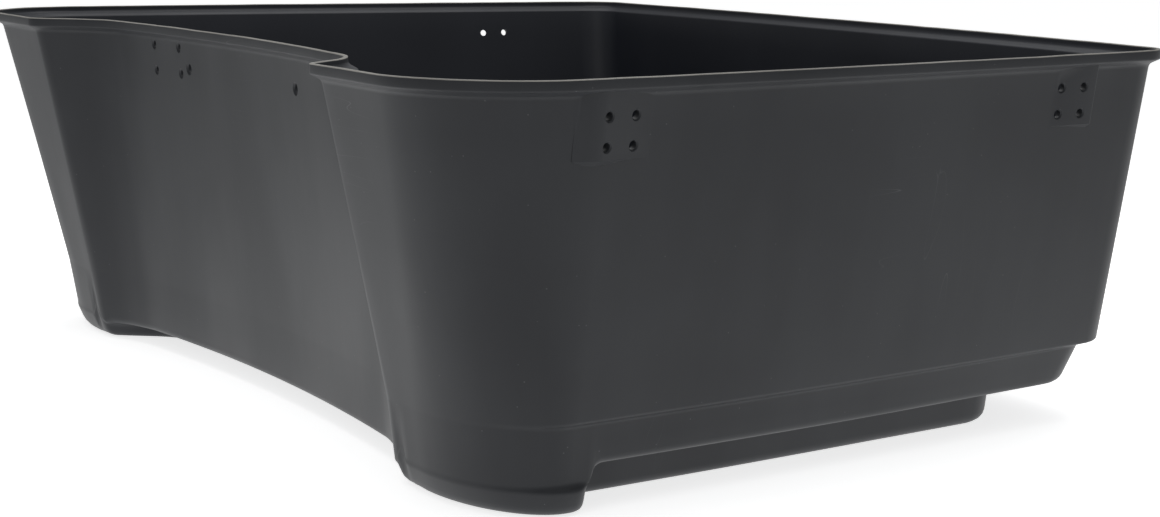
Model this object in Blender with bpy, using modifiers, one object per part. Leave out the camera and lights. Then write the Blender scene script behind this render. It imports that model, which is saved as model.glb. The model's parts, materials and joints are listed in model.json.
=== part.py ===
"""Moulded tub for a truck bed: one open-topped shell with a rolled rim, pads, feet and bolt holes.

The tub is mirror-symmetric about the plane y = 0.  X runs from the recessed end to the bowed end.
It stands on z = 0.  The half y < 0 is lofted from plan sections, mirrored and given its sheet
thickness; the pads are joined on and the bolt holes are cut last.
"""
import math

import bmesh
import bpy

# ---- driving dimensions, metres ----------------------------------------------------------------
LENGTH = 1.152              # recessed end to bowed end at the corners, along X
HALF_WIDTH = 0.920          # half of the width at the recessed end, at the rim
TAPER = 0.160               # how much each side has come in at the bowed end
HEIGHT = 0.522              # rim above the floor face
SHEET = 0.006               # moulded wall thickness

BAND = 0.013                # height of the upright rim band
SHOULDER_DROP = 0.007       # height of the sloping shoulder under the band
SHOULDER = 0.0115           # how far the band stands proud of the wall

SIDE_DRAFT = 0.172          # inward lean of the long sides, per metre of drop
END_DRAFT = 0.051           # the same for the bowed end
NOSE_DRAFT = 0.205          # the same for the two noses of the recessed end
RECESS_DRAFT = 0.090        # the same for the wall between the noses

SIDE_BOW = 0.0154           # outward bow of the long sides
END_BOW = 0.0475            # outward bow of the bowed end
NOSE_FORWARD = 0.010        # how far the noses reach out beyond X = 0 of the plan
NOSE_WIDTH = 0.372          # width of each nose at the rim
JOG_RUN = 0.078             # how far the jog behind a nose slopes
JOG_DRAFT = 0.010           # lean of the jog
JOG_INSET = 0.414           # how far the jog corners move along it, per inset
RECESS_DEPTH = 0.080        # depth of the recess behind the noses
RECESS_BOW = 0.030          # extra depth in the middle of the recess

NOSE_REACH = 0.188          # corner curves, as the distance from corner to tangent point
TAIL_REACH = 0.050
TIP_REACH = 0.012
JOG_REACH = 0.052
FOOT_REACH = 0.014
FOOT_GAP = 0.017            # least distance from the nose curve's end to the foot's end

LEDGE_Z = 0.114             # lower edge of the upper wall
LEDGE_STEP = 0.0095         # how far the skirt is set back under it, along the sides
LEDGE_DROP = 0.005          # slope of that ledge
LEDGE_FADE = (0.09, 0.26)   # where the ledge grows out of the nose corner, in X
END_STEP = 0.024            # the same step at the bowed end
END_SKIRT_LEAN = 0.022      # how far the skirt leans in further at the bowed end
SHELF_Z = 0.057             # lower edge of the skirt
RECESS_FLOOR_Z = 0.026      # lower edge of the recess wall
SHELF_FALL = 0.006          # slope of both shelves
BOX_SET_BACK = 0.070        # floor box behind the skirt
BOX_END = 0.987             # where the floor box stops, in X
RECESS_SET_BACK = 0.070     # floor box behind the recess wall
FOOT_END = 0.226            # where the nose foot stops along the side, in X
FOOT_RAMP = 0.034           # run of the foot's inner side
FLOOR_ROUND = 0.016         # rounding at the floor edge
FLOOR_MARGIN = 0.014        # flat strip around the floor's middle face

HOLE = 0.011                # bolt holes
LARGE_HOLE = 0.014
PITCH_X = 0.040             # bolt pattern on the side pads
PITCH_Z = 0.035
HOLE_TOP_Z = 0.478          # upper row of holes
PAD_TOP_Z = 0.5085          # top of a pad's face, just inside the sheet of the shoulder
PAD_BACK_TOP_Z = 0.505      # top of its back
PAD_BOTTOM_Z = 0.418
PAD_CHAMFER = 0.010         # height of the slope under a pad
PAD_FACE = 0.0015           # pad face at its thick end, behind the rim band
# Each pad is given as stations along X with how far its face has gone back: 0 thick, 1 flush.
FRONT_PAD = ((0.165, 1.25), (0.190, 0.0), (0.272, 1.0))
REAR_PAD = ((0.922, 1.0), (1.016, 0.0))
FRONT_HOLES_X = 0.226       # middle of the bolt patterns
REAR_HOLES_X = 0.973
FAR_HOLES_X = 0.935
FAR_HOLES_Z = 0.466
RECESS_PATTERN_Y = (0.231, 0.319)
RECESS_PATTERN_Z = (0.452, 0.491)
RECESS_LARGE_Y = 0.200
RECESS_LARGE_Z = 0.461
DRILL_DEPTH = 0.090

MIDDLE_X = (LENGTH + END_BOW - NOSE_FORWARD) / 2
ARC_STEPS = 7
FOOT_STEPS = 3
SPAN_STEPS = 6


def clear_scene():
    for old in list(bpy.data.objects):
        bpy.data.objects.remove(old, do_unlink=True)


def make_collection(name):
    group = bpy.data.collections.new(name)
    bpy.context.scene.collection.children.link(group)
    return group


def plastic(name, colour, roughness):
    """A moulded plastic: dark, satin, not metallic."""
    material = bpy.data.materials.new(name)
    material.use_nodes = True
    shader = material.node_tree.nodes["Principled BSDF"]
    shader.inputs["Base Color"].default_value = (*colour, 1.0)
    shader.inputs["Roughness"].default_value = roughness
    shader.inputs["Metallic"].default_value = 0.0
    return material


# ---- plan sections -----------------------------------------------------------------------------

def smooth(value, start, end):
    """0 before start, 1 after end, with no corner between."""
    t = min(1.0, max(0.0, (value - start) / (end - start)))
    return t * t * (3.0 - 2.0 * t)


def side_line(x, inset):
    """y of the straight side (before its bow) at x, moved inward by inset."""
    return -HALF_WIDTH + inset + TAPER * x / LENGTH


def corner_arc(before, corner, after, reaches, steps):
    """An arc that rounds one corner, as a conic, between tangent points at the two reaches."""
    into = [corner[i] - before[i] for i in (0, 1)]
    out = [after[i] - corner[i] for i in (0, 1)]
    into_length = math.hypot(*into)
    out_length = math.hypot(*out)
    start = [corner[i] - into[i] / into_length * reaches[0] for i in (0, 1)]
    end = [corner[i] + out[i] / out_length * reaches[1] for i in (0, 1)]
    cosine = (into[0] * out[0] + into[1] * out[1]) / (into_length * out_length)
    weight = math.sqrt(max(0.0, (1.0 + cosine) / 2.0))
    points = []
    for step in range(steps + 1):
        t = step / steps
        shares = ((1 - t) ** 2, 2 * t * (1 - t) * weight, t ** 2)
        total = sum(shares)
        points.append([
            (shares[0] * start[i] + shares[1] * corner[i] + shares[2] * end[i]) / total
            for i in (0, 1)
        ])
    return points


def bowed(x, y):
    """Add the gentle bows of the four walls to a point of the straight-sided plan."""
    along = 2.0 * x / LENGTH - 1.0
    across = y / HALF_WIDTH
    sideways = abs(across)
    end_bow = END_BOW * (1.0 - across ** 2) * x / LENGTH
    half_recess = HALF_WIDTH - NOSE_WIDTH - JOG_RUN
    recess_bow = RECESS_BOW * max(0.0, 1.0 - (y / half_recess) ** 2) * (1.0 - x / LENGTH)
    side_bow = SIDE_BOW * (1.0 - along ** 2) * sideways
    return x + end_bow + recess_bow, y - side_bow


def section(drop, inset, low=0.0):
    """Half a plan section, from the recess centre round to the bowed end's centre.

    drop is the height below the rim, which sets the drafts; inset moves the whole outline inward;
    low goes from 0 to 1 as the outline becomes that of the floor box.
    """
    below_band = max(0.0, drop - BAND)
    nose = inset - NOSE_FORWARD + NOSE_DRAFT * below_band
    recess = RECESS_DEPTH + inset + RECESS_DRAFT * below_band + low * RECESS_SET_BACK
    side = inset + SIDE_DRAFT * below_band
    end = (LENGTH - END_DRAFT * below_band) * (1.0 - low) + BOX_END * low - inset
    nose_edge = NOSE_WIDTH - HALF_WIDTH - JOG_INSET * inset - JOG_DRAFT * below_band
    jog_edge = nose_edge + JOG_RUN
    box_side = side + low * BOX_SET_BACK
    corners = [
        (recess, 0.0, 0.0),
        (recess, jog_edge, JOG_REACH),
        (nose, nose_edge, TIP_REACH),
        (nose, side_line(nose, side), NOSE_REACH),
        (FOOT_END, side_line(FOOT_END, side), FOOT_REACH),
        (FOOT_END + FOOT_RAMP, side_line(FOOT_END + FOOT_RAMP, box_side), FOOT_REACH),
        (end, side_line(end, box_side), TAIL_REACH),
        (end, 0.0, 0.0),
    ]
    points = [corners[0][:2]]
    for before, here, after in zip(corners, corners[1:], corners[2:]):
        steps = FOOT_STEPS if here[2] == FOOT_REACH else ARC_STEPS
        room = FOOT_END - FOOT_GAP - nose
        beyond = min(NOSE_REACH, room) if here[2] == NOSE_REACH else here[2]
        arc = corner_arc(before, here, after, (here[2], beyond), steps)
        last = points[-1]
        for step in range(1, SPAN_STEPS):
            t = step / SPAN_STEPS
            points.append([last[i] + (arc[0][i] - last[i]) * t for i in (0, 1)])
        points.extend(arc)
    last = points[-1]
    for step in range(1, SPAN_STEPS + 1):
        t = step / SPAN_STEPS
        points.append([last[i] + (corners[-1][i] - last[i]) * t for i in (0, 1)])
    return [bowed(x, y) for x, y in points]


# ---- the shell ---------------------------------------------------------------------------------

def level(drop, inset, step=0.0, lean=0.0, low=0.0, shelf=False, fall=0.0):
    """One ring of the loft as 3-D points.

    step (0 to 1) moves the sides and the bowed end inward by their ledge, and lean moves the bowed
    end further in.  With shelf set, the ring lies at the lower edge of the skirt and of the recess
    wall, lowered by fall.
    """
    recess_edge = HALF_WIDTH - NOSE_WIDTH
    ring = []
    for x, y in section(drop, inset, low):
        z = HEIGHT - drop
        if shelf:
            in_recess = 1.0 - smooth(-y, recess_edge, recess_edge + 0.040)
            in_recess *= 1.0 - smooth(x, LENGTH * 0.4, LENGTH * 0.6)
            z = SHELF_Z + (RECESS_FLOOR_Z - SHELF_Z) * in_recess - fall
        at_side = smooth(x, *LEDGE_FADE) * smooth(-y, HALF_WIDTH * 0.4, HALF_WIDTH * 0.65)
        at_end = smooth(x, LENGTH * 0.5, LENGTH * 0.95)
        y += step * LEDGE_STEP * at_side
        x -= (step * END_STEP + lean) * at_end
        ring.append((x - MIDDLE_X, y, z))
    return ring


def shell_rings():
    """All rings of the outer skin, from the cut edge of the rim to the floor."""
    shoulder_drop = BAND + SHOULDER_DROP
    ledge_drop = HEIGHT - LEDGE_Z
    shelf_drop = HEIGHT - SHELF_Z
    rings = [
        level(0.0, 0.0),
        level(BAND, 0.0),
        level(shoulder_drop, SHOULDER),
        level((shoulder_drop + ledge_drop) / 2, SHOULDER),
        level(ledge_drop, SHOULDER),
        level(ledge_drop + LEDGE_DROP, SHOULDER, step=1.0),
        level(shelf_drop, SHOULDER, step=1.0, lean=END_SKIRT_LEAN, shelf=True),
        level(shelf_drop, SHOULDER, low=1.0, shelf=True, fall=SHELF_FALL),
    ]
    for step in range(4):
        angle = math.radians(30.0 * step)
        lift = FLOOR_ROUND * (1.0 - math.sin(angle))
        inward = FLOOR_ROUND * (1.0 - math.cos(angle))
        rings.append(level(HEIGHT - lift, SHOULDER + inward, low=1.0))
    rings.append(level(HEIGHT, SHOULDER + FLOOR_ROUND + FLOOR_MARGIN, low=1.0))
    return rings


def make_half_skin(collection):
    """Loft the rings into an open surface and close the floor with one face."""
    mesh = bpy.data.meshes.new("tub_shell")
    body = bmesh.new()
    rings = [[body.verts.new(point) for point in ring] for ring in shell_rings()]
    for upper, lower in zip(rings, rings[1:]):
        for i in range(len(upper) - 1):
            body.faces.new((upper[i], lower[i], lower[i + 1], upper[i + 1]))
    body.faces.new(list(reversed(rings[-1])))
    bmesh.ops.recalc_face_normals(body, faces=body.faces)
    body.to_mesh(mesh)
    body.free()
    shell = bpy.data.objects.new("tub_shell", mesh)
    collection.objects.link(shell)
    return shell


def add_modifier(target, name, kind, **settings):
    modifier = target.modifiers.new(name, kind)
    for key, value in settings.items():
        setattr(modifier, key, value)
    return modifier


def pad_share(x, stations):
    """How far a pad's face has gone back at x, in a straight line between its stations."""
    ends = zip(stations, stations[1:])
    (start, first), (end, last) = next(
        (pair for pair in ends if x <= pair[1][0]), stations[-2:])
    return first + (last - first) * (x - start) / (end - start)


def pad_inset(x, stations):
    """How far a pad's face lies behind the band: PAD_FACE where thick, the wall where flush."""
    return PAD_FACE + (SHOULDER - PAD_FACE) * pad_share(x, stations)


def wall_point(x, inset, z, side):
    """A point on the drafted side wall, moved inward by inset; side is -1 (near) or 1 (far)."""
    y = side_line(x, inset + SIDE_DRAFT * max(0.0, HEIGHT - BAND - z))
    return x - MIDDLE_X, -side * bowed(x, y)[1], z


def make_pad_block(collection, name, stations, side):
    """A solid block that fills the wall out to the pad's face, with a sloping underside."""
    back = SHOULDER + SHEET / 2
    edge_z = PAD_BOTTOM_Z + PAD_CHAMFER
    body = bmesh.new()
    rings = []
    for x, share in stations:
        face = pad_inset(x, stations)
        low_z = min(edge_z, PAD_BOTTOM_Z + PAD_CHAMFER * share)
        corners = (
            (face, PAD_TOP_Z),
            (face, edge_z),
            (back, low_z),
            (back, PAD_BACK_TOP_Z),
        )
        rings.append([body.verts.new(wall_point(x, inset, z, side)) for inset, z in corners])
    for here, beyond in zip(rings, rings[1:]):
        for i in range(4):
            j = (i + 1) % 4
            body.faces.new((here[i], here[j], beyond[j], beyond[i]))
    body.faces.new(rings[0])
    body.faces.new(rings[-1])
    bmesh.ops.recalc_face_normals(body, faces=body.faces)
    mesh = bpy.data.meshes.new(name)
    body.to_mesh(mesh)
    body.free()
    block = bpy.data.objects.new(name, mesh)
    collection.objects.link(block)
    return block


def make_drill(collection, name, centre, diameter, direction):
    """A round cutter through the wall at centre, along direction in the plan."""
    bpy.ops.mesh.primitive_cylinder_add(vertices=20, radius=diameter / 2, depth=DRILL_DEPTH)
    drill = bpy.context.object
    drill.name = name
    drill.location = centre
    drill.rotation_euler = (math.radians(90.0), 0.0, direction)
    for owner in list(drill.users_collection):
        owner.objects.unlink(drill)
    collection.objects.link(drill)
    return drill


def drill_side_holes(collection):
    """Four holes in each near pad, and one row of two in the far rear pad."""
    slope = math.atan2(TAPER, LENGTH)
    patterns = [
        ("near_front", -1, FRONT_HOLES_X, HOLE_TOP_Z, FRONT_PAD, (0, 1)),
        ("near_rear", -1, REAR_HOLES_X, HOLE_TOP_Z, REAR_PAD, (0, 1)),
        ("far_rear", 1, FAR_HOLES_X, FAR_HOLES_Z, REAR_PAD, (0,)),
    ]
    for name, side, middle, top_z, pad, rows in patterns:
        for row in rows:
            for column in (0, 1):
                x = middle + (column - 0.5) * PITCH_X
                centre = wall_point(x, pad_inset(x, pad), top_z - row * PITCH_Z, side)
                make_drill(collection, f"drill_{name}_{row}{column}", centre, HOLE, -side * slope)


def drill_recess_holes(collection):
    """A two-by-two pattern and two larger holes through the wall between the noses."""
    half_recess = HALF_WIDTH - NOSE_WIDTH - JOG_RUN
    small = [(y, z) for y in RECESS_PATTERN_Y for z in RECESS_PATTERN_Z]
    large = [(y, RECESS_LARGE_Z) for y in (-RECESS_LARGE_Y, RECESS_LARGE_Y)]
    for count, (y, z) in enumerate(small + large):
        diameter = HOLE if count < len(small) else LARGE_HOLE
        x = RECESS_DEPTH + RECESS_BOW * (1.0 - (y / half_recess) ** 2)
        x += SHOULDER + RECESS_DRAFT * (HEIGHT - BAND - z)
        make_drill(collection, f"drill_recess_{count}", (x - MIDDLE_X, y, z), diameter,
                   math.radians(90.0))


def build():
    clear_scene()
    tub = make_collection("truck_bed_tub")
    cutters = make_collection("cutters")
    pads = make_collection("pad_blocks")
    drills = make_collection("drills")

    shell = make_half_skin(tub)
    shell.data.materials.append(plastic("charcoal_polyethylene", (0.028, 0.028, 0.030), 0.42))
    add_modifier(shell, "both_halves", "MIRROR", use_axis=(False, True, False), use_clip=True,
                 merge_threshold=0.00005)
    add_modifier(shell, "sheet", "SOLIDIFY", thickness=SHEET, offset=-1.0, use_even_offset=True)

    for side, hand in ((-1, "near"), (1, "far")):
        make_pad_block(pads, f"pad_front_{hand}", FRONT_PAD, side)
        make_pad_block(pads, f"pad_rear_{hand}", REAR_PAD, side)
    drill_side_holes(drills)
    drill_recess_holes(drills)
    for group in (pads, drills):
        cutters.children.link(group)
        bpy.context.scene.collection.children.unlink(group)
        for helper in group.objects:
            helper.hide_render = True
            helper.display_type = "WIRE"
    add_modifier(shell, "join_pads", "BOOLEAN", operation="UNION", solver="EXACT",
                 operand_type="COLLECTION", collection=pads)
    add_modifier(shell, "bolt_holes", "BOOLEAN", operation="DIFFERENCE", solver="EXACT",
                 operand_type="COLLECTION", collection=drills)


build()
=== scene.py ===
"""Looks of the moulded truck bed tub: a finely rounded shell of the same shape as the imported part,
procedural plastic, a pale studio floor, soft lights and the camera.

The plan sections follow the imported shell: X runs from the recessed end to the bowed end, the tub is
mirrored about y = 0 and stands on z = 0.  Lengths are metres.
"""
import json
import math

import bmesh
import bpy
from mathutils import Matrix, Vector, noise

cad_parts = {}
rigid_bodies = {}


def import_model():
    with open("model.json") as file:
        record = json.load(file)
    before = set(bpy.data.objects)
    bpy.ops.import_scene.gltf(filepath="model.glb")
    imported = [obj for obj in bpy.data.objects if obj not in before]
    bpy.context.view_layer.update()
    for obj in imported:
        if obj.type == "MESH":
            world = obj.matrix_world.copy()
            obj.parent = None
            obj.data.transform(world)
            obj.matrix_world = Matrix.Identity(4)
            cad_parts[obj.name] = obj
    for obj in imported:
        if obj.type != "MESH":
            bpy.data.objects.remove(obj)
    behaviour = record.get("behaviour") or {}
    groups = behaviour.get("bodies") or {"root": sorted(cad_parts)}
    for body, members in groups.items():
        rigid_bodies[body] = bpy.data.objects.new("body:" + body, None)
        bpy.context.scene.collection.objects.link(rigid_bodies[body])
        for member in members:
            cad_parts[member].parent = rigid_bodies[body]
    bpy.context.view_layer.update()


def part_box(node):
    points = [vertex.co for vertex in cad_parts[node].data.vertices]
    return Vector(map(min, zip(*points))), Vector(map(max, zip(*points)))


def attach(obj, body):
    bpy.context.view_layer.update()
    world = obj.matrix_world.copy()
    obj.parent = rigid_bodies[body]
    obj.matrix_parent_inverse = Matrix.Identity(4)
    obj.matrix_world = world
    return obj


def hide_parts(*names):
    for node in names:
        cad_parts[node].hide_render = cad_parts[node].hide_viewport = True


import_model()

# ---- the shell's driving dimensions ------------------------------------------------------------
LENGTH = 1.152
END_BOW = 0.0475
HALF_WIDTH = 0.920
TAPER = 0.160
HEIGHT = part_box("tub_shell")[1].z       # the rim, above the floor face
NOSE_FORWARD = 0.010        # how far the noses reach out beyond X = 0 of the plan
MIDDLE_X = (LENGTH + END_BOW - NOSE_FORWARD) / 2
SHEET = 0.006               # wall thickness

BAND = 0.013                # height of the upright rim band
SHOULDER_DROP = 0.007       # height of the sloping shoulder under it
SHOULDER = 0.0115           # how far the band stands proud of the wall
SIDE_DRAFT = 0.172          # inward lean of each wall, per metre of drop
END_DRAFT = 0.051
NOSE_DRAFT = 0.205
RECESS_DRAFT = 0.090
SIDE_BOW = 0.0154
NOSE_WIDTH = 0.372
JOG_RUN = 0.078
JOG_INSET = 0.414           # how far the jog corners move along it, per inset
JOG_DRAFT = 0.010
RECESS_DEPTH = 0.080
RECESS_BOW = 0.030
NOSE_REACH = 0.188          # corner curves, as the distance from corner to tangent point
TAIL_REACH = 0.050
TIP_REACH = 0.012
JOG_REACH = 0.052
FOOT_REACH = 0.014
FOOT_GAP = 0.017            # least distance from the nose curve's end to the foot's end

RECESS_EDGE_FADE = 0.040    # how far past the nose's edge the wall's lower edge takes to change
SIDE_FADE = (0.40, 0.65)    # share of the half width over which the ledge gives way to the recess
END_FADE = (0.50, 0.95)     # share of the length over which the end's own step sets in

LEDGE_Z = 0.114             # lower edge of the upper wall
LEDGE_STEP = 0.0095         # how far the skirt is set back under it
LEDGE_DROP = 0.005
LEDGE_FADE = (0.09, 0.26)   # where the ledge grows out of the nose corner, in X
END_STEP = 0.024            # the same step at the bowed end
END_SKIRT_LEAN = 0.022
SHELF_Z = 0.057             # lower edge of the skirt
RECESS_FLOOR_Z = 0.026      # lower edge of the recess wall
SHELF_FALL = 0.006
BOX_SET_BACK = 0.070        # floor box behind the skirt
BOX_END = 0.987             # where the floor box stops, in X
RECESS_SET_BACK = 0.070
FOOT_END = 0.226            # where the nose foot stops along the side, in X
FOOT_RAMP = 0.034
FLOOR_MARGIN = 0.030
ARCH_RADIUS = 0.020         # fillet where the skirt's lower edge turns down into the foot

HOLE = 0.011
LARGE_HOLE = 0.014
HOLE_CHAMFER = 0.0018
DRILL_IN = 0.030            # how far a cutter reaches inward and outward from the outer face
DRILL_OUT = 0.012
DRILL_SIDES = 32
PITCH_X = 0.040
PITCH_Z = 0.035
HOLE_TOP_Z = 0.478
PAD_TOP_Z = 0.5085          # top of a pad's face, just inside the sheet of the shoulder
PAD_BACK_TOP_Z = 0.505      # top of its back
PAD_BOTTOM_Z = 0.418
PAD_CHAMFER = 0.010
PAD_ROUNDING = 0.0035       # rounding of a rear pad's edges
PAD_ROUND_STEPS = 5
PAD_BLEND = 0.012           # rounding of the front pad's ridge
PAD_FACE = 0.0015
# Each pad is given as stations along X with how far its face has gone back: 0 thick, 1 flush.
FRONT_PAD = ((0.165, 1.25), (0.190, 0.0), (0.272, 1.0))
REAR_PAD = ((0.922, 1.0), (1.016, 0.0))
FRONT_HOLES_X = 0.226
REAR_HOLES_X = 0.973
FAR_HOLES_X = 0.935
FAR_HOLES_Z = 0.466
RECESS_PATTERN_Y = (0.231, 0.319)
RECESS_PATTERN_Z = (0.452, 0.491)
RECESS_LARGE_Y = 0.200
RECESS_LARGE_Z = 0.461
PROBE = 0.010               # distance over which the slope of a pad's face is taken

# ---- mesh resolution and surface unevenness ----------------------------------------------------
ROUND_STEPS = 4             # faces across each rounded edge
LEAST_REACH = 1e-5          # reach of a rounding that is as good as sharp
LARGEST_SHARE = 0.46        # a rounding takes at most this share of the shorter side beside it
ROW_LENGTH = 0.045          # longest step down the walls
WAVE = 0.0002               # slow unevenness of the moulded panels
WAVE_RATE = 2.6
WAVE_SEED = 7               # the same unevenness in every run
EDGE_WAVE = 0.0004          # unevenness of the cut edge
EDGE_WAVE_RATE = 22.0
EDGE_WAVE_DEPTH = 0.004     # how far down from the edge it reaches

# ---- looks -------------------------------------------------------------------------------------
OUTER, INNER_PAINTED_SHADE, CUT_EDGE_PAINTED_HIGHLIGHT = range(3)      # the shell's material slots, in the order of SKINS
SKINS = (
    dict(name="outer_skin", dark=(0.0220, 0.0232, 0.0262), light=(0.0300, 0.0318, 0.0352),
         roughness=0.44, streak=0.40, dust=0.45, specular=0.23),
    # inner skin: the same sheet as the outer skin, its colour darkened as painted shade of the tub's hollow;
    # only its glossier finish is its own
    dict(name="inner_skin_painted_shade", dark=(0.0130, 0.0146, 0.0200), light=(0.0180, 0.0200, 0.0265),
         roughness=0.40, streak=0.25, dust=0.18, specular=0.36),
    # cut edge: the rounded top of the rim is made pale as a painted highlight of the overhead light on its
    # upward faces, not a colour of the sheet
    dict(name="cut_edge_painted_highlight", dark=(0.230, 0.220, 0.200), light=(0.320, 0.310, 0.285),
         roughness=0.55, streak=0.40, dust=0.20, specular=0.40),
)
DUST_COLOUR = (0.16, 0.16, 0.165, 1.0)
SMUDGE_SPREAD = (-0.02, 0.04)          # how far smudges change the roughness
GRAIN_STRENGTH = 0.12
GRAIN_DEPTH = 0.0006

FLOOR_GLOW = 0.74           # keeps the studio floor near white to the camera
POOL_GLOW = (0.90, 0.38)    # glow that reaches the part, from the lit pool and from beyond it
POOL_EDGE = (0.75, 1.70)    # distance over which the pool of light ends
SKY_STRENGTH = 0.30
FLOOR_SIZE = 60.0
FLOOR_TONES = ((0.86, 0.86, 0.86, 1.0), (0.90, 0.90, 0.90, 1.0))
FLOOR_GAP = 0.001           # the studio floor lies this far under the part

CAMERA_PLACE = (-1.14470, -3.18464, 0.72269)        # from the middle of the recessed end, at X = 0
CAMERA_YAW, CAMERA_PITCH, CAMERA_ROLL = 0.5198, 0.1692, 0.0084
CAMERA_LENS = 74.446                                # millimetres, on a sensor 36 mm wide
CAMERA_SHIFT = (0.00091, 0.03854)


# ---- plan sections -----------------------------------------------------------------------------

def smooth(value, start, end):
    """0 before start, 1 after end, with no corner between."""
    t = min(1.0, max(0.0, (value - start) / (end - start)))
    return t * t * (3.0 - 2.0 * t)


def side_line(x, inset):
    """y of the straight side (before its bow) at x, moved inward by inset."""
    return -HALF_WIDTH + inset + TAPER * x / LENGTH


def conic(start, corner, end, steps, weight):
    """Points of a conic arc from start to end that heads for corner at both ends."""
    points = []
    for step in range(steps + 1):
        t = step / steps
        shares = ((1 - t) ** 2, 2 * t * (1 - t) * weight, t ** 2)
        total = sum(shares)
        points.append((start * shares[0] + corner * shares[1] + end * shares[2]) / total)
    return points


def corner_arc(before, corner, after, reaches, steps):
    """An arc that rounds one corner between the points at the two reaches from it."""
    into = (corner - before).normalized()
    out = (after - corner).normalized()
    weight = math.sqrt(max(0.0, (1.0 + into.dot(out)) / 2.0))
    start = corner - into * reaches[0]
    end = corner + out * reaches[1]
    return conic(start, corner, end, steps, weight)


def bowed(x, y):
    """Add the gentle bows of the four walls to a point of the straight-sided plan."""
    along = 2.0 * x / LENGTH - 1.0
    across = y / HALF_WIDTH
    end_bow = END_BOW * (1.0 - across ** 2) * x / LENGTH
    half_recess = HALF_WIDTH - NOSE_WIDTH - JOG_RUN
    recess_bow = RECESS_BOW * max(0.0, 1.0 - (y / half_recess) ** 2) * (1.0 - x / LENGTH)
    side_bow = SIDE_BOW * (1.0 - along ** 2) * abs(across)
    return x + end_bow + recess_bow, y - side_bow


# Steps along each corner arc and each straight run, from the recess centre to the bowed end.
ARC_STEPS = (8, 8, 24, 6, 6, 11)
RUN_STEPS = (18, 3, 6, 5, 3, 30, 20)


def section(drop, inset, low=0.0):
    """Half a plan section, from the recess centre round to the bowed end's centre."""
    below_band = max(0.0, drop - BAND)
    nose = inset - NOSE_FORWARD + NOSE_DRAFT * below_band
    recess = RECESS_DEPTH + inset + RECESS_DRAFT * below_band + low * RECESS_SET_BACK
    side = inset + SIDE_DRAFT * below_band
    end = (LENGTH - END_DRAFT * below_band) * (1.0 - low) + BOX_END * low - inset
    nose_edge = NOSE_WIDTH - HALF_WIDTH - JOG_INSET * inset - JOG_DRAFT * below_band
    jog_edge = nose_edge + JOG_RUN
    box_side = side + low * BOX_SET_BACK
    ramp_end = FOOT_END + FOOT_RAMP
    corners = [
        (recess, 0.0, 0.0),
        (recess, jog_edge, JOG_REACH),
        (nose, nose_edge, TIP_REACH),
        (nose, side_line(nose, side), NOSE_REACH),
        (FOOT_END, side_line(FOOT_END, side), FOOT_REACH),
        (ramp_end, side_line(ramp_end, box_side), FOOT_REACH),
        (end, side_line(end, box_side), TAIL_REACH),
        (end, 0.0, 0.0),
    ]
    flat = [Vector(corner[:2]) for corner in corners]
    points = [flat[0]]
    reaches = [(reach, reach) for _, _, reach in corners]
    reaches[3] = (NOSE_REACH, min(NOSE_REACH, FOOT_END - FOOT_GAP - nose))
    arcs = [
        corner_arc(flat[i], flat[i + 1], flat[i + 2], reaches[i + 1], ARC_STEPS[i])
        for i in range(len(ARC_STEPS))
    ] + [[flat[-1]]]
    for arc, steps in zip(arcs, RUN_STEPS):
        last = points[-1]
        points.extend(last.lerp(arc[0], step / steps) for step in range(1, steps))
        points.extend(arc)
    return [bowed(*point) for point in points]


def level(drop, inset, step=0.0, lean=0.0, low=0.0, shelf=False, fall=0.0):
    """One control ring of the shell as 3-D points, for the half y < 0."""
    recess_edge = HALF_WIDTH - NOSE_WIDTH
    ring = []
    for x, y in section(drop, inset, low):
        z = HEIGHT - drop
        if shelf:
            in_recess = 1.0 - smooth(-y, recess_edge, recess_edge + RECESS_EDGE_FADE)
            in_recess *= 1.0 - smooth(x, LENGTH * 0.4, LENGTH * 0.6)
            z = SHELF_Z + (RECESS_FLOOR_Z - SHELF_Z) * in_recess - fall
            if -y > recess_edge + RECESS_EDGE_FADE:
                from_foot = (x - FOOT_END - FOOT_REACH) / ARCH_RADIUS
                short = 1.0 - min(1.0, max(0.0, from_foot))
                z -= ARCH_RADIUS * (1.0 - math.sqrt(max(0.0, 1.0 - short ** 2)))
        at_side = smooth(x, *LEDGE_FADE) * smooth(-y / HALF_WIDTH, *SIDE_FADE)
        at_end = smooth(x / LENGTH, *END_FADE)
        y += step * LEDGE_STEP * at_side
        x -= (step * END_STEP + lean) * at_end
        ring.append(Vector((x - MIDDLE_X, y, z)))
    return ring


def whole(ring):
    """The half ring with its mirror image, as one closed loop."""
    mirrored = [Vector((p.x, -p.y, p.z)) for p in reversed(ring[1:-1])]
    return ring + mirrored


def control_rings():
    """Outer control rings from the rim down, each with (outer, inner) rounding reach."""
    shoulder_drop = BAND + SHOULDER_DROP
    ledge_drop = HEIGHT - LEDGE_Z
    shelf_drop = HEIGHT - SHELF_Z
    rings = [
        (level(0.0, 0.0), 0.0012, 0.0012),
        (level(BAND, 0.0), 0.0020, 0.0045),
        (level(shoulder_drop, SHOULDER), 0.0045, 0.0020),
        (level((shoulder_drop + ledge_drop) / 2, SHOULDER), 0.0, 0.0),
        (level(ledge_drop, SHOULDER), 0.0035, 0.0060),
        (level(ledge_drop + LEDGE_DROP, SHOULDER, step=1.0), 0.0040, 0.0030),
        (level(shelf_drop, SHOULDER, step=1.0, lean=END_SKIRT_LEAN, shelf=True), 0.0100, 0.0040),
        (level(shelf_drop, SHOULDER, low=1.0, shelf=True, fall=SHELF_FALL), 0.0100, 0.0140),
        (level(HEIGHT, SHOULDER, low=1.0), 0.0160, 0.0110),
        (level(HEIGHT, SHOULDER + FLOOR_MARGIN, low=1.0), 0.0, 0.0),
    ]
    return [(whole(ring), outer, inner) for ring, outer, inner in rings]


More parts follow.
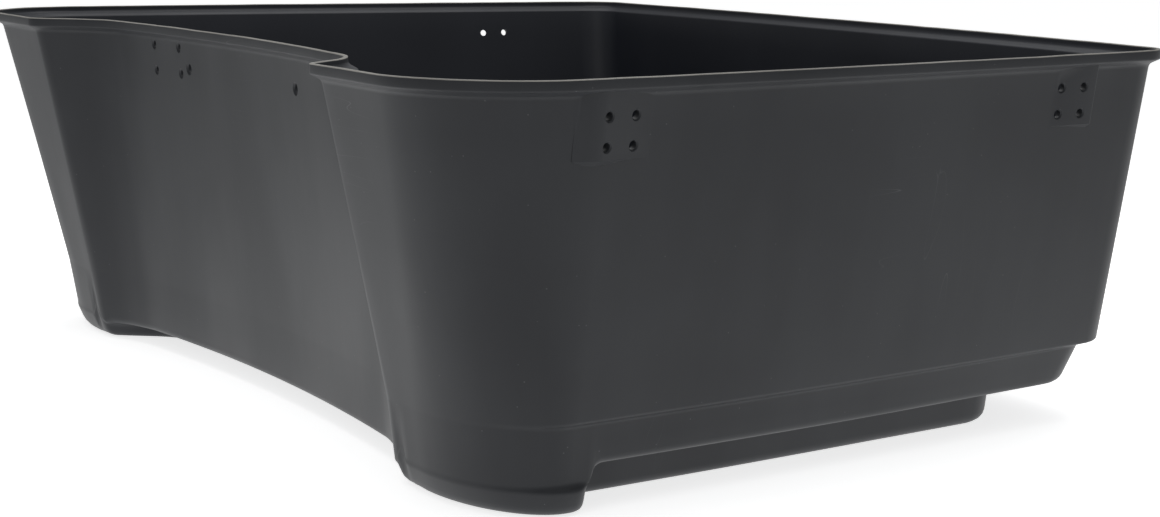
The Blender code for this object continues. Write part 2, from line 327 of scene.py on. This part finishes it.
def inner_ring_points(rings, sheet):
    """Offset every control point inward by sheet, as the corner of the two offset faces."""
    count = len(rings[0])
    strips = []
    for upper, lower in zip(rings, rings[1:]):
        normals = []
        for i in range(count):
            before, after = (i - 1) % count, (i + 1) % count
            along = (upper[after] - upper[before]) + (lower[after] - lower[before])
            down = lower[i] - upper[i]
            normals.append(down.cross(along).normalized())
        strips.append(normals)
    offset = []
    for k, ring in enumerate(rings):
        above = strips[max(0, k - 1)]
        below = strips[min(len(strips) - 1, k)]
        points = []
        for i, point in enumerate(ring):
            miter = (above[i] + below[i]) / (1.0 + above[i].dot(below[i]))
            points.append(point - miter * sheet)
        offset.append(points)
    return offset


def rounded_column(controls, reaches):
    """One column of the shell from the outer floor, over the rim, to the inner floor."""
    points = [controls[0]]
    for i in range(1, len(controls) - 1):
        before, corner, after = controls[i - 1:i + 2]
        shortest = min((corner - before).length, (after - corner).length)
        reach = max(LEAST_REACH, min(reaches[i], LARGEST_SHARE * shortest))
        points.extend(corner_arc(before, corner, after, (reach, reach), ROUND_STEPS))
    points.append(controls[-1])
    return points


def runs_for(columns):
    """How many parts each step between neighbouring rows is cut into, the same for all columns."""
    rows = len(columns[0])
    counts = []
    for k in range(rows - 1):
        longest = max((column[k + 1] - column[k]).length for column in columns)
        counts.append(max(1, math.ceil(longest / ROW_LENGTH)))
    return counts


def uneven(point):
    """A point moved by the slow unevenness of the moulded sheet and of its cut edge."""
    moved = point + noise.noise_vector(point * WAVE_RATE) * WAVE
    top = smooth(point.z, HEIGHT - EDGE_WAVE_DEPTH, HEIGHT)
    moved.z += noise.noise(point * EDGE_WAVE_RATE) * EDGE_WAVE * top
    return moved


def make_shell():
    """The rounded shell as a closed mesh, with faces of the inner skin (painted shade) and cut edge (painted
    highlight) marked.
    """
    rings = control_rings()
    outer = [ring for ring, _, _ in rings]
    inner = inner_ring_points(outer, SHEET)
    for point, top in zip(inner[0], outer[0]):
        point.z = top.z
    reaches = [outer_reach for _, outer_reach, _ in reversed(rings)]
    reaches += [inner_reach for _, _, inner_reach in rings]
    columns = []
    for i in range(len(outer[0])):
        controls = [ring[i] for ring in reversed(outer)] + [ring[i] for ring in inner]
        columns.append(rounded_column(controls, reaches))
    counts = runs_for(columns)
    edge_row = (len(rings) - 1) * (ROUND_STEPS + 1)
    body = bmesh.new()
    grid = []
    for column in columns:
        line = []
        for k, parts in enumerate(counts):
            line.extend(column[k].lerp(column[k + 1], part / parts) for part in range(parts))
        line.append(column[-1])
        grid.append([body.verts.new(uneven(point)) for point in line])
    # rows over the rounded rim get the cut edge's painted highlight, rows inside get the inner skin's
    # painted shade
    row_skin = []
    for k, parts in enumerate(counts):
        if k < edge_row - ROUND_STEPS:
            skin = OUTER
        elif k > edge_row + ROUND_STEPS:
            skin = INNER_PAINTED_SHADE
        else:
            skin = CUT_EDGE_PAINTED_HIGHLIGHT
        row_skin.extend([skin] * parts)
    for i, column in enumerate(grid):
        beside = grid[(i + 1) % len(grid)]
        for k in range(len(column) - 1):
            face = body.faces.new((column[k], beside[k], beside[k + 1], column[k + 1]))
            face.material_index = row_skin[k]
    body.faces.new([column[0] for column in reversed(grid)]).material_index = OUTER
    body.faces.new([column[-1] for column in grid]).material_index = INNER_PAINTED_SHADE
    bmesh.ops.recalc_face_normals(body, faces=body.faces)
    mesh = bpy.data.meshes.new("tub")
    body.to_mesh(mesh)
    body.free()
    shell = bpy.data.objects.new("tub", mesh)
    bpy.context.scene.collection.objects.link(shell)
    return shell


# ---- pads and holes ----------------------------------------------------------------------------

def pad_share(x, stations):
    """How far a pad's face has gone back at x, in a straight line between its stations."""
    ends = zip(stations, stations[1:])
    spans = (pair for pair in ends if x <= pair[1][0])
    (start, first), (end, last) = next(spans, stations[-2:])
    return first + (last - first) * (x - start) / (end - start)


def pad_inset(x, stations):
    """How far a pad's face lies behind the band: PAD_FACE where thick, the wall where flush."""
    return PAD_FACE + (SHOULDER - PAD_FACE) * pad_share(x, stations)


def wall_point(x, inset, z, side):
    """A point on the drafted side wall, moved inward by inset; side is -1 (near) or 1 (far)."""
    y = side_line(x, inset + SIDE_DRAFT * max(0.0, HEIGHT - BAND - z))
    return Vector((x - MIDDLE_X, -side * bowed(x, y)[1], z))


def make_pad_block(group, name, stations, side):
    """A block that fills the wall out to a pad's face, rounded where the pad is thick."""
    back = SHOULDER + SHEET / 2
    edge_z = PAD_BOTTOM_Z + PAD_CHAMFER
    body = bmesh.new()
    rings = []
    for x, share in stations:
        face = pad_inset(x, stations)
        low_z = min(edge_z, PAD_BOTTOM_Z + PAD_CHAMFER * share)
        corners = (
            (face, PAD_TOP_Z),
            (face, edge_z),
            (back, low_z),
            (back, PAD_BACK_TOP_Z),
        )
        rings.append([body.verts.new(wall_point(x, inset, z, side)) for inset, z in corners])
    for here, beyond in zip(rings, rings[1:]):
        for i in range(4):
            j = (i + 1) % 4
            body.faces.new((here[i], here[j], beyond[j], beyond[i]))
    body.faces.new(rings[0])
    body.faces.new(rings[-1])
    bmesh.ops.recalc_face_normals(body, faces=body.faces)
    thick = next(ring for ring, (_, share) in zip(rings, stations) if share == 0.0)
    ridge = [body.edges.get((thick[i], thick[i + 1])) for i in (0, 1)]
    rounding = PAD_ROUNDING if thick is rings[-1] else PAD_BLEND
    bmesh.ops.bevel(body, geom=ridge, offset=rounding, segments=PAD_ROUND_STEPS, profile=0.5, affect="EDGES")
    return finish_helper(group, name, body)


def finish_helper(group, name, body):
    """Turn a bmesh into an object of the group."""
    mesh = bpy.data.meshes.new(name)
    body.to_mesh(mesh)
    body.free()
    helper = bpy.data.objects.new(name, mesh)
    group.objects.link(helper)
    return helper


def make_drill(group, name, centre, outward, diameter):
    """A cutter whose hole has a small chamfer at the outer face."""
    radius = diameter / 2
    profile = [
        (radius, -DRILL_IN),
        (radius, -HOLE_CHAMFER),
        (radius + 2 * HOLE_CHAMFER, HOLE_CHAMFER),
        (radius + 2 * HOLE_CHAMFER, DRILL_OUT),
    ]
    turn = outward.to_track_quat("Z", "Y").to_matrix().to_4x4()
    place = Matrix.Translation(centre) @ turn
    body = bmesh.new()
    loops = []
    for ring_radius, height in profile:
        loops.append([
            body.verts.new(place @ Vector((
                ring_radius * math.cos(math.tau * i / DRILL_SIDES),
                ring_radius * math.sin(math.tau * i / DRILL_SIDES),
                height,
            )))
            for i in range(DRILL_SIDES)
        ])
    for lower, upper in zip(loops, loops[1:]):
        for i in range(DRILL_SIDES):
            j = (i + 1) % DRILL_SIDES
            body.faces.new((lower[i], lower[j], upper[j], upper[i]))
    body.faces.new(list(reversed(loops[0])))
    body.faces.new(loops[-1])
    bmesh.ops.recalc_face_normals(body, faces=body.faces)
    return finish_helper(group, name, body)


def drill_side_holes(group):
    """Four holes in each near pad, and one row of two in the far rear pad."""
    patterns = [
        ("near_front", -1, FRONT_HOLES_X, HOLE_TOP_Z, FRONT_PAD, (0, 1)),
        ("near_rear", -1, REAR_HOLES_X, HOLE_TOP_Z, REAR_PAD, (0, 1)),
        ("far_rear", 1, FAR_HOLES_X, FAR_HOLES_Z, REAR_PAD, (0,)),
    ]
    for name, side, middle, top_z, pad, rows in patterns:
        for row in rows:
            for column in (0, 1):
                x = middle + (column - 0.5) * PITCH_X
                z = top_z - row * PITCH_Z
                centre = wall_point(x, pad_inset(x, pad), z, side)
                beyond = x + PROBE
                along = wall_point(beyond, pad_inset(beyond, pad), z, side) - centre
                down = wall_point(x, pad_inset(x, pad), z - PROBE, side) - centre
                outward = along.cross(down).normalized()
                if outward.y * side < 0:
                    outward = -outward
                make_drill(group, f"drill_{name}_{row}{column}", centre, outward, HOLE)


def drill_recess_holes(group):
    """A two-by-two pattern and two larger holes through the wall between the noses."""
    half_recess = HALF_WIDTH - NOSE_WIDTH - JOG_RUN
    small = [(y, z) for y in RECESS_PATTERN_Y for z in RECESS_PATTERN_Z]
    large = [(y, RECESS_LARGE_Z) for y in (-RECESS_LARGE_Y, RECESS_LARGE_Y)]
    for count, (y, z) in enumerate(small + large):
        diameter = HOLE if count < len(small) else LARGE_HOLE
        x = SHOULDER + RECESS_DEPTH + RECESS_DRAFT * (HEIGHT - BAND - z)
        x += RECESS_BOW * (1.0 - (y / half_recess) ** 2) * (1.0 - x / LENGTH)
        x += END_BOW * (1.0 - (y / HALF_WIDTH) ** 2) * x / LENGTH
        lean = 2.0 * RECESS_BOW * y / half_recess ** 2
        outward = Vector((-1.0, -lean, -RECESS_DRAFT)).normalized()
        make_drill(group, f"drill_recess_{count}", Vector((x - MIDDLE_X, y, z)), outward, diameter)


def cut_and_join(shell):
    """Join the pads, cut the holes, and leave one plain mesh with no helpers."""
    pads = bpy.data.collections.new("pads")
    drills = bpy.data.collections.new("drills")
    for side, hand in ((-1, "near"), (1, "far")):
        make_pad_block(pads, f"pad_front_{hand}", FRONT_PAD, side)
        make_pad_block(pads, f"pad_rear_{hand}", REAR_PAD, side)
    drill_side_holes(drills)
    drill_recess_holes(drills)
    for group, operation in ((pads, "UNION"), (drills, "DIFFERENCE")):
        bpy.context.scene.collection.children.link(group)
        modifier = shell.modifiers.new(group.name, "BOOLEAN")
        modifier.operation = operation
        modifier.solver = "EXACT"
        modifier.operand_type = "COLLECTION"
        modifier.collection = group
    bpy.context.view_layer.update()
    evaluated = shell.evaluated_get(bpy.context.evaluated_depsgraph_get())
    mesh = bpy.data.meshes.new_from_object(evaluated)
    shell.modifiers.clear()
    shell.data = mesh
    for group in (pads, drills):
        for helper in list(group.objects):
            bpy.data.objects.remove(helper, do_unlink=True)
        bpy.data.collections.remove(group)
    mesh.shade_smooth()
    mesh.set_sharp_from_angle(angle=math.radians(32.0))


# ---- plastic -----------------------------------------------------------------------------------

class Nodes:
    """Short calls for building a node tree."""

    def __init__(self, name):
        self.material = bpy.data.materials.new(name)
        self.material.use_nodes = True
        self.tree = self.material.node_tree
        self.shader = self.tree.nodes["Principled BSDF"]
        self.place = self.new("ShaderNodeTexCoord").outputs["Object"]

    def new(self, kind, **settings):
        node = self.tree.nodes.new(kind)
        for key, value in settings.items():
            setattr(node, key, value)
        return node

    def set(self, socket, value):
        """Give a socket a link from an output, or a plain value."""
        if hasattr(value, "is_output"):
            self.tree.links.new(value, socket)
        else:
            socket.default_value = value

    def noise(self, scale, stretch=(1.0, 1.0, 1.0), detail=3.0, turn=(0.0, 0.0, 0.0)):
        """A noise value, 0 to 1, over the object, stretched along its axes."""
        mapping = self.new("ShaderNodeMapping")
        self.set(mapping.inputs["Vector"], self.place)
        self.set(mapping.inputs["Rotation"], turn)
        self.set(mapping.inputs["Scale"], stretch)
        texture = self.new("ShaderNodeTexNoise")
        self.set(texture.inputs["Vector"], mapping.outputs["Vector"])
        self.set(texture.inputs["Scale"], scale)
        self.set(texture.inputs["Detail"], detail)
        return texture.outputs["Fac"]

    def remap(self, value, low, high, to_low=0.0, to_high=1.0):
        """A smooth step from to_low to to_high as value goes from low to high."""
        node = self.new("ShaderNodeMapRange", interpolation_type="SMOOTHSTEP")
        for name, number in (("Value", value), ("From Min", low), ("From Max", high),
                             ("To Min", to_low), ("To Max", to_high)):
            self.set(node.inputs[name], number)
        return node.outputs["Result"]

    def math(self, operation, first, second=0.0):
        node = self.new("ShaderNodeMath", operation=operation)
        self.set(node.inputs[0], first)
        self.set(node.inputs[1], second)
        return node.outputs["Value"]

    def mix(self, share, first, second):
        node = self.new("ShaderNodeMix", data_type="RGBA")
        self.set(node.inputs["Factor"], share)
        self.set(node.inputs["A"], first)
        self.set(node.inputs["B"], second)
        return node.outputs["Result"]

    def hairlines(self, scale, stretch, turn, width, cover):
        """Thin scratch lines: where one noise crosses its middle, kept in a few patches.

        width is the line's half width in noise values, and a higher cover leaves fewer patches.
        """
        line = self.noise(scale, stretch, 1.0, turn)
        away = self.math("ABSOLUTE", self.math("SUBTRACT", line, 0.5))
        thin = self.remap(away, 0.0, width, 1.0, 0.0)
        patch = self.remap(self.noise(2.3, detail=2.0, turn=turn), cover, cover + 0.08)
        return self.math("MULTIPLY", thin, patch)

    def specks(self, scale, size, share):
        """Small dots of dust: cells of a Voronoi pattern, only a share of which hold a dot."""
        cell = self.new("ShaderNodeTexVoronoi")
        self.set(cell.inputs["Vector"], self.place)
        self.set(cell.inputs["Scale"], scale)
        dot = self.remap(cell.outputs["Distance"], size * 0.5, size, 1.0, 0.0)
        lucky = self.math("LESS_THAN", cell.outputs["Color"], share)
        return self.math("MULTIPLY", dot, lucky)


def surface_tone(made, streak):
    """A value for light and dark: upright streaks, a share of it, and soft clouds."""
    streaks = made.noise(9.0, (1.0, 1.0, 0.06), 4.0)
    clouds = made.noise(3.1, detail=5.0)
    tone = made.math("ADD", made.math("MULTIPLY", streaks, streak),
                     made.math("MULTIPLY", clouds, 1.0 - streak))
    return made.remap(tone, 0.34, 0.66)


def surface_marks(made, dust):
    """Level and upright hairline scuffs and dust specks, as a share of the dust colour."""
    level_lines = made.hairlines(3.0, (0.4, 0.4, 9.0), (0.3, 0.2, 0.0), 0.0016, 0.60)
    upright_lines = made.hairlines(3.0, (8.0, 8.0, 0.5), (0.0, 0.3, 0.4), 0.0013, 0.60)
    scuffs = made.math("MAXIMUM", level_lines, upright_lines)
    specks = made.specks(95.0, 0.10, 0.22)
    return made.math("MULTIPLY", made.math("MAXIMUM", scuffs, specks), dust)


def surface_grain(made):
    """The normal of a fine moulded grain with faint upright draw marks."""
    grain = made.noise(420.0, detail=2.0)
    drawn = made.noise(60.0, (1.0, 1.0, 0.05), 2.0)
    relief = made.math("ADD", made.math("MULTIPLY", grain, 0.4),
                       made.math("MULTIPLY", drawn, 0.6))
    bump = made.new("ShaderNodeBump")
    made.set(bump.inputs["Height"], relief)
    made.set(bump.inputs["Strength"], GRAIN_STRENGTH)
    made.set(bump.inputs["Distance"], GRAIN_DEPTH)
    return bump.outputs["Normal"]


def plastic(name, dark, light, roughness, streak, dust, specular):
    """Moulded polyethylene: soft streaks, smudges, hairline scuffs, dust specks and fine grain."""
    made = Nodes(name)
    base = made.mix(surface_tone(made, streak), (*dark, 1.0), (*light, 1.0))
    base = made.mix(surface_marks(made, dust), base, DUST_COLOUR)
    smooth_spots, rough_spots = (roughness + spread for spread in SMUDGE_SPREAD)
    smudges = made.noise(6.0, (1.0, 1.0, 0.4), 5.0)
    made.set(made.shader.inputs["Base Color"], base)
    made.set(made.shader.inputs["Roughness"],
             made.remap(smudges, 0.3, 0.7, smooth_spots, rough_spots))
    made.set(made.shader.inputs["Specular IOR Level"], specular)
    made.set(made.shader.inputs["Normal"], surface_grain(made))
    return made.material


def floor_material():
    """A pale, matt studio floor.

    The camera sees it glow evenly, while the glow that lights the part is a pool around it.
    """
    made = Nodes("studio_floor")
    base = made.mix(made.noise(0.8, detail=4.0), *FLOOR_TONES)
    made.set(made.shader.inputs["Base Color"], base)
    made.set(made.shader.inputs["Roughness"], 0.9)
    made.set(made.shader.inputs["Specular IOR Level"], 0.1)
    made.set(made.shader.inputs["Emission Color"], (1.0, 1.0, 1.0, 1.0))
    distance = made.new("ShaderNodeVectorMath", operation="LENGTH")
    made.set(distance.inputs[0], made.place)
    pool = made.remap(distance.outputs["Value"], *POOL_EDGE, *POOL_GLOW)
    seen = made.new("ShaderNodeLightPath").outputs["Is Camera Ray"]
    glow = made.math("ADD", made.math("MULTIPLY", seen, FLOOR_GLOW),
                     made.math("MULTIPLY", made.math("SUBTRACT", 1.0, seen), pool))
    made.set(made.shader.inputs["Emission Strength"], glow)
    return made.material


# ---- studio ------------------------------------------------------------------------------------

def make_floor():
    bpy.ops.mesh.primitive_plane_add(size=FLOOR_SIZE, location=(0.0, 0.0, -FLOOR_GAP))
    floor = bpy.context.object
    floor.name = "studio_floor"
    floor.data.materials.append(floor_material())


def make_light(name, place, target, size, power):
    """A rectangular soft light at place, facing target."""
    data = bpy.data.lights.new(name, "AREA")
    data.shape = "RECTANGLE"
    data.size, data.size_y = size
    data.energy = power
    light = bpy.data.objects.new(name, data)
    light.location = place
    aim = Vector(target) - Vector(place)
    light.rotation_mode = "QUATERNION"
    light.rotation_quaternion = aim.to_track_quat("-Z", "Y")
    bpy.context.scene.collection.objects.link(light)


def make_world(strength):
    world = bpy.data.worlds.new("studio")
    world.use_nodes = True
    backdrop = world.node_tree.nodes["Background"]
    backdrop.inputs["Color"].default_value = (0.97, 0.985, 1.0, 1.0)
    backdrop.inputs["Strength"].default_value = strength
    bpy.context.scene.world = world


def make_camera():
    """The viewpoint: turned by yaw from +Y towards +X, tipped down, with a very small roll."""
    yaw, pitch, roll = CAMERA_YAW, CAMERA_PITCH, CAMERA_ROLL
    data = bpy.data.cameras.new("camera")
    data.sensor_width = 36.0
    data.lens = CAMERA_LENS
    data.shift_x, data.shift_y = CAMERA_SHIFT
    camera = bpy.data.objects.new("camera", data)
    forward = Vector((
        math.sin(yaw) * math.cos(pitch), math.cos(yaw) * math.cos(pitch), -math.sin(pitch)
    ))
    right = Vector((math.cos(yaw), -math.sin(yaw), 0.0))
    up = right.cross(forward)
    across = right * math.cos(roll) + up * math.sin(roll)
    upright = up * math.cos(roll) - right * math.sin(roll)
    turn = Matrix((across, upright, -forward)).transposed().to_4x4()
    place = Vector(CAMERA_PLACE) - Vector((MIDDLE_X, 0.0, 0.0))
    camera.matrix_world = Matrix.Translation(place) @ turn
    bpy.context.scene.collection.objects.link(camera)
    bpy.context.scene.camera = camera


def build():
    noise.seed_set(WAVE_SEED)
    shell = make_shell()
    for look in SKINS:
        shell.data.materials.append(plastic(**look))
    cut_and_join(shell)
    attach(shell, "root")
    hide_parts("tub_shell")
    make_floor()
    make_world(SKY_STRENGTH)
    make_light("overhead", place=(0.3, 0.2, 3.4), target=(0.0, 0.0, 0.0),
               size=(4.2, 4.2), power=85.0)
    make_light("front_left", place=(-3.6, -2.6, 2.0), target=(-0.2, -0.2, 0.2),
               size=(2.6, 2.2), power=9.0)
    make_camera()
    bpy.context.scene.view_settings.view_transform = "Standard"


build()
